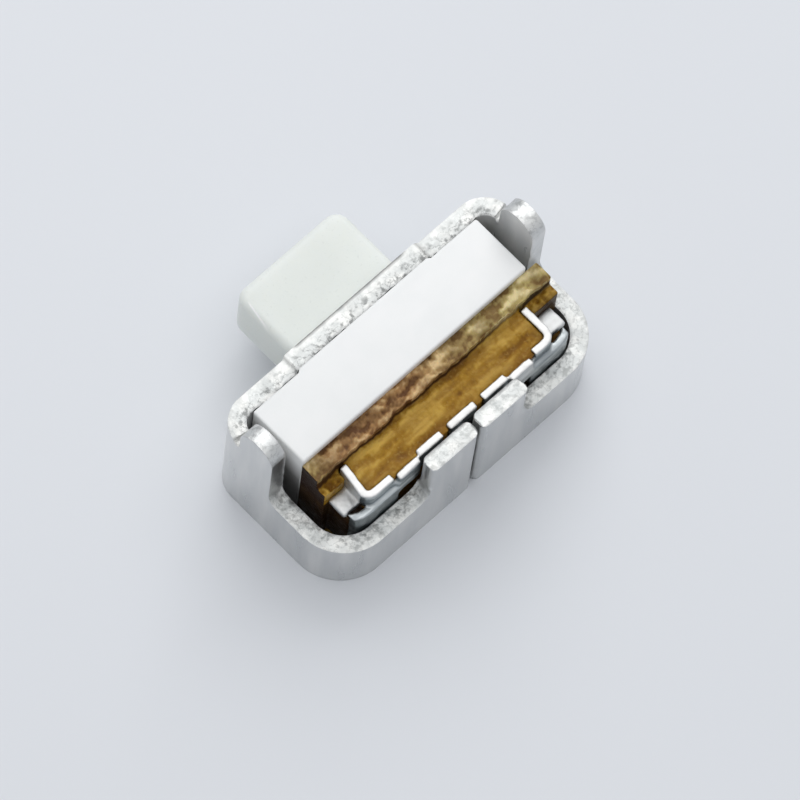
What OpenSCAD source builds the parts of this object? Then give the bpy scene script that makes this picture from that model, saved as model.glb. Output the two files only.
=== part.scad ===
// Side-push tactile switch: a folded steel frame holds a guide block, a sliding button and a
// resin base with moulded-in contacts. A snap dome under a film sits between button and base.
// The switch stands on the frame's flat lower edge. +X runs along the body, the button points
// to -Y and is pressed towards +Y. The origin is the middle of the whole part's footprint.

/* [Frame] */
// Length of the folded frame, outside
frame_l = 4.0; // [3.8:0.05:5]
// Depth of the folded frame, outside
frame_d = 2.0; // [1.95:0.05:2.4]
// Height of the front wall and of the rear flaps
frame_h = 1.52; // [1.48:0.02:1.9]
// Thickness of the steel strip
sheet_t = 0.20; // [0.16:0.01:0.22]
// Outside bend radius of the two front corners
front_bend_r = 0.37; // [0.3:0.01:0.45]
// Outside bend radius of the two rear corners
rear_bend_r = 0.60; // [0.45:0.01:0.7]
// Height of the strip where it is cut down round the rear corners
low_rim_h = 0.82; // [0.5:0.01:1.1]
// Length of each rear flap, from the seam to its upright edge
flap_l = 0.70; // [0.55:0.01:0.85]
// Fillet at the foot of each flap's upright edge
flap_fillet_r = 0.17; // [0.05:0.01:0.25]
// Width of the open seam between the two flaps
seam_gap = 0.05; // [0.02:0.01:0.12]
// Rounding of the seam's outer upright edges
seam_edge_r = 0.06; // [0.02:0.01:0.1]
// How far the wall round the window is pressed outwards
press_out = 0.03; // [0.01:0.01:0.05]
// Length of the pressed-out part of the front wall
press_l = 1.90; // [1.7:0.02:2.2]

/* [Pegs] */
// Width of each upright peg on the end walls
peg_w = 0.48; // [0.4:0.01:0.6]
// Height of each peg above the front wall
peg_h = 0.48; // [0.3:0.01:0.7]
// From the front face to the front edge of each peg
peg_y = 0.40; // [0.38:0.01:0.5]
// Rounding of each peg's edges
peg_edge_r = 0.08; // [0.02:0.01:0.08]
// Radius of the small relief cut at the front root of each peg
relief_r = 0.04; // [0.02:0.005:0.06]
// Fillet behind each peg, down to the low rim
peg_fillet_r = 0.15; // [0.05:0.01:0.2]

/* [Button] */
// Width of the stem
stem_w = 1.54; // [1.1:0.02:1.6]
// Height of the stem
stem_h = 0.76; // [0.6:0.02:0.86]
// How far the stem stands out of the frame
stem_reach = 0.98; // [0.5:0.01:1.6]
// Corner radius of the stem's tip, seen from above
tip_corner_r = 0.17; // [0.04:0.01:0.3]
// Rounding of the stem's upper and lower edges at the tip
tip_edge_r = 0.10; // [0.02:0.01:0.2]
// Rounding along the four long edges of the stem
long_edge_r = 0.10; // [0.02:0.01:0.15]
// Width of the flange that keeps the button in
flange_w = 2.00; // [1.8:0.02:2.2]
// Thickness of the flange
flange_t = 0.22; // [0.15:0.01:0.26]
// Diameter of the nub that pushes the dome
nub_d = 0.50; // [0.3:0.01:0.7]
// How far the button travels
travel = 0.15; // [0.1:0.01:0.16]
// Clearance round the stem in the window
slide_gap = 0.04; // [0.02:0.005:0.06]

/* [Guide block] */
// Depth of the guide block
block_d = 0.76; // [0.7:0.01:0.8]
// Clearance between the guide block and the front wall
block_front_gap = 0.03; // [0.02:0.005:0.08]
// Clearance at each end of the block's pad, which fills the pressed-out part of the front wall
block_pad_gap = 0.02; // [0.01:0.005:0.05]
// Clearance between the guide block and each end wall
block_end_gap = 0.165; // [0.1:0.005:0.2]
// Height of the guide block above the front wall
block_proud = 0.03; // [0.01:0.01:0.15]
// Wall of the guide block in front of the flange
block_front_t = 0.15; // [0.12:0.01:0.18]
// Roof and floor thickness of the guide block
block_skin_t = 0.14; // [0.1:0.01:0.18]
// Clearance round the flange in its chamber
flange_gap = 0.05; // [0.03:0.005:0.08]

/* [Base] */
// Gap between the underside of block and base and the frame's lower edge
foot_gap = 0.08; // [0.04:0.01:0.15]
// Depth of the base's wide front plate
plate_d = 0.23; // [0.2:0.01:0.3]
// How far the front plate's top lies below the front wall's top
plate_drop = 0.05; // [0.02:0.01:0.09]
// How far the rear body's top lies below the front wall's top
body_drop = 0.18; // [0.12:0.01:0.25]
// Gap between the base and the left end wall
left_gap = 0.15; // [0.1:0.01:0.2]
// Gap between the base and the right end wall
right_gap = 0.01; // [0.005:0.005:0.15]
// Depth of the low shoulders behind the front plate's ends
shoulder_d = 0.13; // [0.08:0.01:0.18]
// How far the shoulders lie below the front wall's top
shoulder_drop = 0.26; // [0.2:0.01:0.35]
// Depth of the round recess that holds the dome
recess_d = 0.11; // [0.08:0.01:0.12]

/* [Dome and film] */
// Diameter of the snap dome
dome_d = 0.96; // [0.7:0.02:1]
// What is left of the dome's height when it is pressed flat
dome_flat_h = 0.02; // [0.01:0.005:0.04]
// Thickness of the dome's spring steel
dome_t = 0.04; // [0.02:0.005:0.05]
// Clearance between the dome and the wall of its recess
dome_gap = 0.03; // [0.02:0.005:0.05]
// Thickness of the film
film_t = 0.025; // [0.015:0.005:0.03]
// Width of the film
film_w = 1.80; // [1.4:0.05:2]
// Clearance between the film's upper and lower edges and the guide block's chamber
film_gap = 0.03; // [0.01:0.005:0.05]

/* [Contacts] */
// Thickness of the contact sheet
contact_t = 0.09; // [0.06:0.01:0.1]
// How far the contacts' cut upper edge lies below the front wall's top
contact_drop = 0.16; // [0.1:0.01:0.2]
// Distance from each end wall to the outer arm beside it
arm_inset = 0.43; // [0.4:0.01:0.5]
// How far the set of contacts lies to the right of the middle
contact_shift = 0.02; // [0:0.01:0.05]
// Outside bend radius at the foot of each arm
arm_bend_r = 0.14; // [0.1:0.01:0.2]
// Width of the middle tooth
mid_tooth_w = 0.40; // [0.3:0.01:0.5]
// Resin gap between the middle tooth and the outer contacts
tooth_gap = 0.10; // [0.05:0.01:0.15]
// Length of the inner tooth of each outer contact
inner_tooth_l = 0.36; // [0.3:0.01:0.39]
// Length of the stepped tooth of each outer contact
step_tooth_l = 0.34; // [0.25:0.01:0.36]
// How far the stepped tooth stands further back
tooth_step = 0.05; // [0.02:0.005:0.05]
// Width of the notches between the teeth
notch_w = 0.03; // [0.02:0.005:0.06]
// Depth of the notches between the teeth
notch_d = 0.12; // [0.05:0.01:0.2]
// Clearance between the solder legs and the frame's rear wall
leg_gap = 0.02; // [0.01:0.005:0.04]
// Height of the solder legs' upper edge above the frame's lower edge
leg_top = 1.15; // [0.95:0.01:1.2]
// Length of each solder leg along the rear wall and into its bend
leg_l = 0.60; // [0.5:0.01:0.68]
// How far each solder ledge reaches out beyond its arm
ledge_reach = 0.24; // [0.15:0.01:0.26]
// Length of each solder ledge, front to back
ledge_l = 0.25; // [0.2:0.01:0.32]
// Height of the solder ledges' upper face above the frame's lower edge
ledge_top = 1.06; // [0.9:0.01:1.1]
// Width of the rails that the dome's rim stands on
rail_w = 0.20; // [0.15:0.01:0.22]
// Diameter of the pad under the middle of the dome
pad_d = 0.36; // [0.2:0.01:0.4]

/* [Hidden] */
$fn = 64;
cut = 0.1;           // overrun of cutting shapes
dome_h = travel + dome_flat_h;
crown_gap = 0.005;   // between the dome's crown and the film, and the film and the nub
ramp_l = 0.04;       // length of the slope at each end of the pressed-out wall
arm_gap = 0.03;      // resin between the front plate and the arms' tips
split_gap = 0.05;    // level strip between the pegs' fillets and the profile of the rear wall
tooth_bare_t = contact_t / 4;    // part of the plain teeth's thickness that the resin leaves bare
boss_margin = 0.02;  // how far the film's boss reaches past the nub

front_y = (stem_reach - frame_d) / 2;    // frame's front face, with the part's box centred on Y
inner_x = frame_l / 2 - sheet_t;
rear_wall_y = frame_d - sheet_t;
peg_top = frame_h + peg_h;
peg_r = peg_w / 2;
peg_back_y = peg_y + peg_w;
split_y = peg_back_y + peg_fillet_r + split_gap;

block_x = inner_x - block_end_gap;
block_y = sheet_t + block_front_gap;
block_top = frame_h + block_proud;
chamber_y = block_y + block_front_t;
chamber_z = [foot_gap + block_skin_t, block_top - block_skin_t];
stem_z = (foot_gap + block_top) / 2;     // middle of stem, window, dome and recess
chamber_x = flange_w / 2 + flange_gap;

base_y = block_y + block_d;
plate_back_y = base_y + plate_d;
plate_top = frame_h - plate_drop;
body_top = frame_h - body_drop;
shoulder_top = frame_h - shoulder_drop;
recess_r = dome_d / 2 + dome_gap;
floor_y = base_y + recess_d;
crown_y = floor_y - dome_h;
film_crown_y = crown_y - crown_gap - film_t;
film_boss_r = nub_d / 2 + boss_margin;

leg_y = rear_wall_y - leg_gap;            // rear face of the solder legs
tooth_y = leg_y - tooth_step;             // rear face of the plain teeth
contact_top = frame_h - contact_drop;
arm_x = inner_x - arm_inset;
inner_end_x = mid_tooth_w / 2 + tooth_gap;
step_x = inner_end_x + inner_tooth_l;     // where the stepped tooth starts
step_end_x = step_x + step_tooth_l;
leg_x = arm_x + ledge_reach;              // outer end of the solder ledges
lug_x = leg_x - contact_t / 2;            // outer end of the legs and of the lugs under the ledges
leg_from_x = lug_x - leg_l;               // where the legs leave the rear plate
ledge_y = plate_back_y + shoulder_d;
rail_x = dome_d / 2 - rail_w / 2;
rail_z = [stem_z - dome_d / 2, stem_z + dome_d / 2 - rail_w / 2];

steel = [0.78, 0.78, 0.77];
silver = [0.86, 0.86, 0.85];
white = [0.95, 0.96, 0.96];
grey_white = [0.87, 0.89, 0.87];
amber = [0.60, 0.42, 0.16];
kapton = [0.75, 0.50, 0.15];

// Box between two limits on each axis.
module box(x, y, z) {
  translate([x[0], y[0], z[0]]) cube([x[1] - x[0], y[1] - y[0], z[1] - z[0]]);
}

// Flat shape drawn in Y and Z, pushed along X.
module along_x(from, to) {
  translate([from, 0, 0]) rotate([90, 0, 90]) linear_extrude(to - from) children();
}

// Flat shape drawn in X and Z, pushed along Y.
module along_y(from, to) {
  translate([0, to, 0]) rotate([90, 0, 0]) linear_extrude(to - from) children();
}

// Rectangle with rounded corners, from low to high corner; lists give the radius front and rear.
module round_rect(low, high, r_low, r_high) {
  for (end = [0, 1]) {
    x_low = end == 0 ? low.x + r_low : high.x - r_low;
    x_high = end == 0 ? low.x + r_high : high.x - r_high;
    translate([x_low, low.y + r_low]) circle(r_low);
    translate([x_high, high.y - r_high]) circle(r_high);
  }
  translate([low.x + r_low, low.y]) square([high.x - low.x - 2 * r_low, r_low]);
  translate([low.x + r_high, high.y - r_high]) square([high.x - low.x - 2 * r_high, r_high]);
  translate([low.x, low.y + r_low]) square([high.x - low.x, high.y - low.y - r_low - r_high]);
}

// Concave corner fillet that fills the quadrant +X +Y of the origin.
module fillet(r) {
  difference() {
    square(r);
    translate([r, r]) circle(r);
  }
}

// ---- frame: one strip folded round into a ring ----

// Trapezium that stands out of the front wall round the window, with a clearance at its ends.
module press_shape(end_gap = 0) {
  top_x = press_l / 2 - end_gap;
  polygon([
    [-top_x - ramp_l, 0], [-top_x, -press_out],
    [top_x, -press_out], [top_x + ramp_l, 0]
  ]);
}

module ring_outline() {
  difference() {
    union() {
      round_rect([-frame_l / 2, 0], [frame_l / 2, frame_d], front_bend_r, rear_bend_r);
      press_shape();
    }
    round_rect(
      [-inner_x, sheet_t], [inner_x, rear_wall_y],
      front_bend_r - sheet_t, rear_bend_r - sheet_t
    );
    translate([0, sheet_t]) press_shape();
    translate([-seam_gap / 2, rear_wall_y - cut]) square([seam_gap, sheet_t + 2 * cut]);
    for (side = [0, 1]) {
      mirror([side, 0]) translate([seam_gap / 2, frame_d]) mirror([0, 1]) fillet(seam_edge_r);
    }
  }
}

// The strip's edge on the front and end walls, seen from the end.
module end_profile() {
  difference() {
    union() {
      translate([-cut, 0]) square([cut + peg_y, frame_h]);
      square([peg_y + peg_r, frame_h - relief_r]);
      translate([peg_back_y, low_rim_h]) fillet(peg_fillet_r);
      square([split_y, low_rim_h]);
    }
    translate([peg_y - relief_r, frame_h]) circle(relief_r);
  }
}

// The strip's edge on the rear wall, seen from behind.
module rear_profile() {
  translate([-frame_l / 2, 0]) square([frame_l, low_rim_h]);
  translate([-flap_l, 0]) square([2 * flap_l, frame_h]);
  for (side = [0, 1]) {
    mirror([side, 0]) translate([flap_l, low_rim_h]) fillet(flap_fillet_r);
  }
}

// Upright peg of the +X end wall, rounded over its top and along its edges.
module peg() {
  intersection() {
    along_x(inner_x, frame_l / 2) {
      translate([peg_y, 0]) square([peg_w, peg_top - peg_r]);
      translate([peg_y + peg_r, peg_top - peg_r]) circle(peg_r);
    }
    linear_extrude(peg_top)
      round_rect([inner_x, peg_y], [frame_l / 2, peg_back_y], peg_edge_r, peg_edge_r);
    along_y(peg_y, peg_back_y)
      round_rect([inner_x, -cut], [frame_l / 2, peg_top], peg_edge_r, peg_edge_r);
  }
}

module frame() {
  window_x = stem_w / 2 + slide_gap;
  window_z = stem_h / 2 + slide_gap;
  color(steel) translate([0, front_y, 0]) difference() {
    intersection() {
      linear_extrude(peg_top + cut) ring_outline();
      union() {
        along_x(-frame_l / 2 - cut, frame_l / 2 + cut) end_profile();
        along_y(split_y, frame_d + cut) rear_profile();
      }
    }
    box([-window_x, window_x], [-cut, sheet_t + cut], [stem_z - window_z, stem_z + window_z]);
  }
  color(steel) translate([0, front_y, 0]) {
    peg();
    mirror([1, 0, 0]) peg();
  }
}

// ---- guide block: bright white moulding with a chamber for the button's flange ----

module guide_block() {
  window_x = stem_w / 2 + slide_gap;
  window_z = stem_h / 2 + slide_gap;
  color(white) translate([0, front_y, 0]) difference() {
    union() {
      box([-block_x, block_x], [block_y, base_y], [foot_gap, block_top]);
      translate([0, block_y, foot_gap]) linear_extrude(block_top - foot_gap)
        press_shape(block_pad_gap);
    }
    box([-chamber_x, chamber_x], [chamber_y, base_y + cut], chamber_z);
    box([-window_x, window_x], [block_y - cut, chamber_y + cut], [stem_z - window_z, stem_z + window_z]);
  }
}

// ---- button: stem with a retaining flange and a nub for the dome ----

// Stem rounded at its tip and along its edges, from the tip to the flange.
module stem(back_y) {
  intersection() {
    translate([0, 0, stem_z - stem_h / 2]) linear_extrude(stem_h)
      round_rect([-stem_w / 2, -stem_reach], [stem_w / 2, back_y], tip_corner_r, long_edge_r);
    along_y(-stem_reach, back_y)
      round_rect(
        [-stem_w / 2, stem_z - stem_h / 2], [stem_w / 2, stem_z + stem_h / 2],
        long_edge_r, long_edge_r
      );
    along_x(-stem_w / 2, stem_w / 2)
      round_rect(
        [-stem_reach, stem_z - stem_h / 2], [back_y, stem_z + stem_h / 2],
        tip_edge_r, tip_edge_r
      );
  }
}

module button() {
  flange_y = chamber_y + crown_gap;
  flange_z = [chamber_z[0] + flange_gap, chamber_z[1] - flange_gap];
  nub_tip_y = film_crown_y - crown_gap;
  color(grey_white) translate([0, front_y, 0]) {
    stem(flange_y + flange_t);
    box([-flange_w / 2, flange_w / 2], [flange_y, flange_y + flange_t], flange_z);
    translate([0, flange_y, stem_z]) rotate([-90, 0, 0])
      cylinder(h = nub_tip_y - flange_y, d = nub_d);
  }
}

// ---- film: polyimide sheet with a low boss over the dome ----

module film() {
  film_z = [chamber_z[0] + film_gap, chamber_z[1] - film_gap];
  color(kapton) translate([0, front_y, 0]) difference() {
    union() {
      box([-film_w / 2, film_w / 2], [base_y - film_t, base_y], film_z);
      translate([0, base_y, stem_z]) rotate([90, 0, 0])
        cylinder(h = base_y - film_crown_y, r1 = recess_r, r2 = film_boss_r);
    }
    translate([0, base_y, stem_z]) rotate([90, 0, 0])
      cylinder(h = base_y - film_crown_y - film_t, r1 = recess_r - film_t, r2 = film_boss_r - film_t / 2);
  }
}

// ---- dome: thin spherical shell that stands on the rails ----

module dome() {
  rim_r = dome_d / 2;
  ball_r = (rim_r * rim_r + dome_h * dome_h) / (2 * dome_h);
  color(silver) translate([0, front_y, 0]) intersection() {
    translate([0, crown_y + ball_r, stem_z]) difference() {
      sphere(ball_r);
      sphere(ball_r - dome_t);
    }
    translate([0, floor_y, stem_z]) rotate([90, 0, 0]) cylinder(h = dome_h + cut, r = rim_r + cut);
  }
}

// ---- contacts: bent sheet pieces round which the base is moulded ----

// Solder leg from above: it follows the rear wall and turns in with the frame's bend.
module leg_outline() {
  bend_r = rear_bend_r - sheet_t - leg_gap;
  wall_x = inner_x - contact_shift - leg_gap;
  intersection() {
    difference() {
      round_rect([-wall_x, 0], [wall_x, leg_y], front_bend_r, bend_r);
      round_rect(
        [contact_t - wall_x, -cut], [wall_x - contact_t, leg_y - contact_t],
        front_bend_r, bend_r - contact_t
      );
    }
    translate([leg_from_x, leg_y - bend_r]) square([leg_l, bend_r + cut]);
  }
}

// Outer contact of the +X side: toothed rear plate, arm, ledge, leg and rail.
module outer_contact() {
  inner_r = arm_bend_r - contact_t;
  corner_y = tooth_y - arm_bend_r;
  arm_z = [ledge_top - contact_t, contact_top];
  difference() {
    union() {
      // rear plate, which jogs back at its stepped tooth
      box([inner_end_x, step_x], [tooth_y - contact_t, tooth_y], arm_z);
      box([step_x, step_end_x], [leg_y - contact_t, leg_y], arm_z);
      box([step_end_x, arm_x - arm_bend_r], [tooth_y - contact_t, tooth_y], arm_z);
      // bend and arm
      translate([arm_x - arm_bend_r, corner_y, arm_z[0]]) intersection() {
        difference() {
          cylinder(h = arm_z[1] - arm_z[0], r = arm_bend_r);
          translate([0, 0, -cut]) cylinder(h = arm_z[1] - arm_z[0] + 2 * cut, r = inner_r);
        }
        cube([arm_bend_r, arm_bend_r, arm_z[1] - arm_z[0]]);
      }
      box([arm_x - contact_t, arm_x], [plate_back_y + arm_gap, corner_y], arm_z);
    }
    // notches in the cut edge on both sides of the stepped tooth
    for (x = [step_x, step_end_x]) {
      box([x - notch_w / 2, x + notch_w / 2], [base_y, rear_wall_y], [contact_top - notch_d, frame_h]);
    }
  }
  // solder ledge and leg
  box([arm_x - contact_t, leg_x], [ledge_y, ledge_y + ledge_l], [ledge_top - contact_t, ledge_top]);
  translate([0, 0, foot_gap]) linear_extrude(leg_top - foot_gap) leg_outline();
  // strip through the resin to the rail under the dome's rim
  box(
    [rail_x - rail_w / 2, leg_from_x + contact_t], [floor_y, floor_y + contact_t],
    [rail_z[0], rail_z[0] + rail_w]
  );
  box([rail_x - rail_w / 2, rail_x + rail_w / 2], [floor_y, floor_y + contact_t], rail_z);
  box(
    [leg_from_x, leg_from_x + contact_t], [floor_y, leg_y],
    [rail_z[0], rail_z[0] + rail_w]
  );
}

module left_contact() {
  color(silver) translate([-contact_shift, front_y, 0]) outer_contact();
}

module right_contact() {
  color(silver) translate([-contact_shift, front_y, 0]) mirror([1, 0, 0]) outer_contact();
}

// Middle contact: pad under the dome's crown, strip through the resin and the middle tooth.
module pad_contact() {
  strip_x = min(mid_tooth_w, pad_d) / 2;
  translate([contact_shift, floor_y, stem_z]) rotate([-90, 0, 0]) cylinder(h = contact_t, d = pad_d);
  box([-strip_x, strip_x], [floor_y, tooth_y], [stem_z - contact_t / 2, stem_z + contact_t / 2]);
  box(
    [-mid_tooth_w / 2, mid_tooth_w / 2], [tooth_y - contact_t, tooth_y],
    [foot_gap, contact_top]
  );
}

module centre_contact() {
  color(silver) translate([-contact_shift, front_y, 0]) pad_contact();
}

// ---- base: resin with a wide front plate, moulded round the contacts ----

module resin() {
  left_x = inner_x - left_gap;
  right_x = inner_x - right_gap;
  lug_top = ledge_top - contact_t;
  resin_x = arm_x - contact_t;
  shift = [-contact_shift, 0, 0];
  difference() {
    union() {
      box([-right_x, left_x], [base_y, plate_back_y], [foot_gap, plate_top]);
      translate(shift)
        box([-resin_x, resin_x], [plate_back_y, tooth_y - tooth_bare_t], [foot_gap, body_top]);
      // low shoulders behind the ends of the front plate, outside the arms
      box([-right_x, -arm_x - contact_shift], [plate_back_y, ledge_y], [foot_gap, shoulder_top]);
      box([arm_x - contact_shift, left_x], [plate_back_y, ledge_y], [foot_gap, shoulder_top]);
      // lugs under the solder ledges
      translate(shift)
        box([-lug_x, lug_x], [plate_back_y, leg_y - contact_t], [foot_gap, lug_top]);
    }
    // round recess that holds the dome
    translate([0, floor_y, stem_z]) rotate([90, 0, 0]) cylinder(h = recess_d + cut, r = recess_r);
  }
}

module base() {
  color(amber) translate([0, front_y, 0]) difference() {
    resin();
    translate([-contact_shift, 0, 0]) {
      outer_contact();
      mirror([1, 0, 0]) outer_contact();
      pad_contact();
    }
  }
}

frame();
guide_block();
button();
film();
dome();
base();
left_contact();
centre_contact();
right_contact();
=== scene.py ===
import math

import bmesh
import bpy
from mathutils import Matrix, Vector, noise


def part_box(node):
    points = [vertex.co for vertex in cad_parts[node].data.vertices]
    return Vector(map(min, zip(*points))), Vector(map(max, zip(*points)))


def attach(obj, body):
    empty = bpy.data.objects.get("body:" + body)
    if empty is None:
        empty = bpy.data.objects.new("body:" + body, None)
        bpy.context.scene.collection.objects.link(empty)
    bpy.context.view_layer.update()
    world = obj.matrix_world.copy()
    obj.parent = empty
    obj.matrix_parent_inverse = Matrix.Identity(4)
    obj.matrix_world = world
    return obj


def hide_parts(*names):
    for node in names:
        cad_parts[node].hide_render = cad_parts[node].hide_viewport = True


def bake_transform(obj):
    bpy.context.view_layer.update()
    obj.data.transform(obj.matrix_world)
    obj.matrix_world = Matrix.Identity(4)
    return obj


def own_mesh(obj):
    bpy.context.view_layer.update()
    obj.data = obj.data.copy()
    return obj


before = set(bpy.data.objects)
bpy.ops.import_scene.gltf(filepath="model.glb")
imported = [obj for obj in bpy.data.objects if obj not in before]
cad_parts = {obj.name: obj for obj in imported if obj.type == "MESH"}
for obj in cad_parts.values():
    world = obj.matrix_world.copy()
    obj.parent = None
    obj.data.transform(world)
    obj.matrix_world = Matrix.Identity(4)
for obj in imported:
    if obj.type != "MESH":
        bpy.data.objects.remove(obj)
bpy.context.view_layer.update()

# ---- Contacts -------------------------------------------------------------------------------
# Three bent pieces of silver-plated sheet, stamped in one strip and cut apart after moulding.
# Their cut upper edges stand out of the resin as a row of bright teeth, softened by the cut.
MM = 0.001                       # pieces are modelled in millimetres and shrunk at the end
frame_depth = 2.0
FRONT_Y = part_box("frame")[1].y / MM - frame_depth    # front face of the frame
tooth_voxel = 0.014              # size of the cells that the contacts are rebuilt from
tooth_rough = 0.006              # how far the cut edges wander
contacts_mid = -0.02             # middle of the set of contacts along the part
arm_x = 1.37                     # outer face of each contact's arm, from that middle
teeth_from = 1.25                # height above which only the teeth and arms stand
ledge_back = 1.61                # rear end of the solder ledges, from the frame's front face
arm_lean = 0.05                  # how far the left arm's foot is bent outwards
wide_notch = 0.05                # how much one notch beside the right arm is widened
ledge_draw = 0.045               # how far the right ledge is drawn out


def mesh_from_node(node):
    """A welded copy of a CAD node's surface, in millimetres."""
    shape = bmesh.new()
    shape.from_mesh(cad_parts[node].data)
    bmesh.ops.scale(shape, vec=(1 / MM,) * 3, verts=shape.verts)
    bmesh.ops.remove_doubles(shape, verts=shape.verts, dist=0.0005)
    return shape


def make_object(shape, name, finish):
    """Shrinks a shape to metres and makes it an object with one material."""
    bmesh.ops.scale(shape, vec=(MM,) * 3, verts=shape.verts)
    mesh = bpy.data.meshes.new(name)
    shape.to_mesh(mesh)
    shape.free()
    mesh.materials.append(finish)
    piece = bpy.data.objects.new(name, mesh)
    bpy.context.scene.collection.objects.link(piece)
    return piece


def rebuild_in_cells(shape, cell):
    """Replaces a shape by an even net of cells over the same surface, rounded at its edges."""
    mesh = bpy.data.meshes.new("cells")
    shape.to_mesh(mesh)
    shape.free()
    carrier = bpy.data.objects.new("cells", mesh)
    bpy.context.scene.collection.objects.link(carrier)
    remesh = carrier.modifiers.new("cells", "REMESH")
    remesh.mode = "VOXEL"
    remesh.voxel_size = cell
    depsgraph = bpy.context.evaluated_depsgraph_get()
    net = bmesh.new()
    net.from_mesh(carrier.evaluated_get(depsgraph).to_mesh())
    bpy.data.objects.remove(carrier)
    bpy.data.meshes.remove(mesh)
    return net


def soften(shape, passes):
    """Rounds a net's edges by averaging each point with its neighbours."""
    for _ in range(passes):
        bmesh.ops.smooth_vert(shape, verts=shape.verts, factor=0.5,
                              use_axis_x=True, use_axis_y=True, use_axis_z=True)


def shade_smooth(shape):
    for face in shape.faces:
        face.smooth = True


def grain_group():
    """Fine grain in millimetres on Object coordinates: a mask and a height."""
    group = bpy.data.node_groups.new("fine_grain", "ShaderNodeTree")
    group.interface.new_socket("Stretch", in_out="INPUT", socket_type="NodeSocketVector")
    for name, value in (("Scale", 20.0), ("Detail", 4.0), ("Low", 0.35), ("High", 0.65)):
        socket = group.interface.new_socket(name, in_out="INPUT", socket_type="NodeSocketFloat")
        socket.default_value = value
    group.interface.new_socket("Mask", in_out="OUTPUT", socket_type="NodeSocketFloat")
    group.interface.new_socket("Raw", in_out="OUTPUT", socket_type="NodeSocketFloat")
    nodes, links = group.nodes, group.links
    source = nodes.new("NodeGroupInput")
    result = nodes.new("NodeGroupOutput")
    place = nodes.new("ShaderNodeTexCoord")
    to_mm = nodes.new("ShaderNodeVectorMath")
    to_mm.operation = "MULTIPLY"
    pattern = nodes.new("ShaderNodeTexNoise")
    window = nodes.new("ShaderNodeMapRange")
    links.new(place.outputs["Object"], to_mm.inputs[0])
    links.new(source.outputs["Stretch"], to_mm.inputs[1])
    links.new(to_mm.outputs[0], pattern.inputs["Vector"])
    links.new(source.outputs["Scale"], pattern.inputs["Scale"])
    links.new(source.outputs["Detail"], pattern.inputs["Detail"])
    links.new(pattern.outputs["Fac"], window.inputs["Value"])
    links.new(source.outputs["Low"], window.inputs["From Min"])
    links.new(source.outputs["High"], window.inputs["From Max"])
    links.new(window.outputs["Result"], result.inputs["Mask"])
    links.new(pattern.outputs["Fac"], result.inputs["Raw"])
    return group


grain = grain_group()


def new_finish(name, **plain):
    """A Principled material; plain values go on the shader's own sockets."""
    material = bpy.data.materials.new(name)
    material.use_nodes = True
    shader = material.node_tree.nodes["Principled BSDF"]
    for socket, value in plain.items():
        shader.inputs[socket.replace("_", " ")].default_value = value
    return material, shader


def add_grain(material, scale, detail=4.0, low=0.35, high=0.65, stretch=(1, 1, 1)):
    """The fine grain with its own scale, mask window and stretch along each axis."""
    node = material.node_tree.nodes.new("ShaderNodeGroup")
    node.node_tree = grain
    node.inputs["Stretch"].default_value = [s / MM for s in stretch]
    for socket, value in (("Scale", scale), ("Detail", detail), ("Low", low), ("High", high)):
        node.inputs[socket].default_value = value
    return node


def add_mix(material, mask, first, second):
    """Colour mix by a mask; first and second are colours or output sockets."""
    mix = material.node_tree.nodes.new("ShaderNodeMix")
    mix.data_type = "RGBA"
    material.node_tree.links.new(mask, mix.inputs["Factor"])
    for socket, value in ((mix.inputs[6], first), (mix.inputs[7], second)):
        if isinstance(value, bpy.types.NodeSocket):
            material.node_tree.links.new(value, socket)
        else:
            socket.default_value = (*value, 1.0)
    return mix.outputs[2]


def add_range(material, value, low, high, start=0.0, end=1.0):
    """Maps a value from start..end to low..high."""
    node = material.node_tree.nodes.new("ShaderNodeMapRange")
    material.node_tree.links.new(value, node.inputs["Value"])
    for socket, number in (("From Min", start), ("From Max", end), ("To Min", low), ("To Max", high)):
        node.inputs[socket].default_value = number
    return node.outputs["Result"]


def add_math(material, operation, first, second=0.0):
    """A sum, product or the like of an output socket and a socket or number."""
    node = material.node_tree.nodes.new("ShaderNodeMath")
    node.operation = operation
    material.node_tree.links.new(first, node.inputs[0])
    if isinstance(second, bpy.types.NodeSocket):
        material.node_tree.links.new(second, node.inputs[1])
    else:
        node.inputs[1].default_value = second
    return node.outputs[0]


def add_stored(material, name):
    """A value stored on the mesh's points."""
    node = material.node_tree.nodes.new("ShaderNodeAttribute")
    node.attribute_name = name
    return node.outputs["Fac"]


def add_bump(material, shader, height, depth_mm, strength):
    """Relief of the surface, from a height of 0 to 1 and its depth in millimetres."""
    node = material.node_tree.nodes.new("ShaderNodeBump")
    node.inputs["Distance"].default_value = depth_mm * MM
    node.inputs["Strength"].default_value = strength
    material.node_tree.links.new(height, node.inputs["Height"])
    material.node_tree.links.new(node.outputs["Normal"], shader.inputs["Normal"])


def silver_finish():
    """Silver plate: bright on the cut edges, with a painted highlight on faces turned up and a painted
    reflection on some flanks; dull grey with light drawing lines on the flanks.
    """
    material, shader = new_finish("silver_plate", Metallic=1.0)
    link = material.node_tree.links.new
    edge = add_stored(material, "cut_edge_and_light")
    lines = add_grain(material, 9.0, detail=3.0, low=0.45, high=0.65, stretch=(0.12, 1, 1))
    dents = add_grain(material, 14.0, detail=3.0, low=0.3, high=0.7)
    flank = add_mix(material, lines.outputs["Mask"], (0.22, 0.25, 0.265), (0.52, 0.56, 0.57))
    bright = add_mix(material, dents.outputs["Mask"], (0.62, 0.615, 0.61), (0.72, 0.715, 0.70))
    link(add_mix(material, edge, flank, bright), shader.inputs["Base Color"])
    plated = add_range(material, dents.outputs["Mask"], 0.30, 0.44)
    rough = add_math(material, "ADD", plated, add_range(material, edge, 0.0, 0.20))
    link(rough, shader.inputs["Roughness"])
    add_bump(material, shader, dents.outputs["Raw"], 0.004, 0.6)
    return material


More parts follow.
